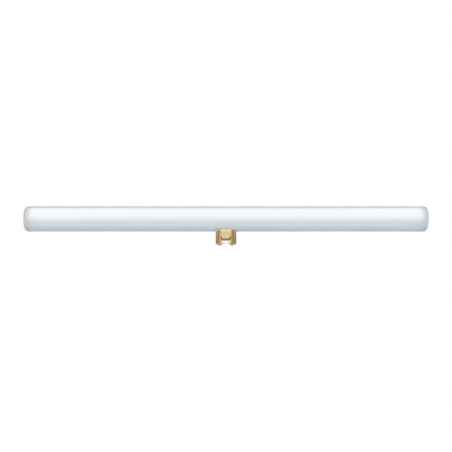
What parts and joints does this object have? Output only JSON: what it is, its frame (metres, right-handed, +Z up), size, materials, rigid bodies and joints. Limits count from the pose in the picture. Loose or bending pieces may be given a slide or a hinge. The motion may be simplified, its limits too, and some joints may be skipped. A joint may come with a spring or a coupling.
{
  "type": "tubular light bulb",
  "caption": "Long straight opal glass tube lamp with a flat-sided brass push-fit cap under its middle, for a two-contact lampholder.",
  "frame": {"origin": "centre of the cap's rim plane, straight under the middle of the tube", "axes": "+X along the tube, +Z up from the cap's rim to the glass, +Y across the tube towards its back"},
  "size_m": [0.5, 0.0314, 0.0478],
  "materials": {
    "opal_glass": "glossy white opal glass",
    "cap_brass": "drawn and pressed, lightly polished",
    "contact_brass": "flat stamped plate",
    "ivory_insulator": "moulded ivory thermoset",
    "basing_cement": "baked resin cement",
    "wire_nickel": "drawn wire",
    "solder_tin": "bright solder"
  },
  "bodies": {
    "root": {"opal_tube": "opal_glass", "cap_shell": "cap_brass", "cap_cement": "basing_cement", "cap_insulator": "ivory_insulator", "contact_left": "contact_brass", "contact_right": "contact_brass", "lead_wire_left": "wire_nickel", "lead_wire_right": "wire_nickel", "solder_left": "solder_tin", "solder_right": "solder_tin"}
  },
  "joints": []
}
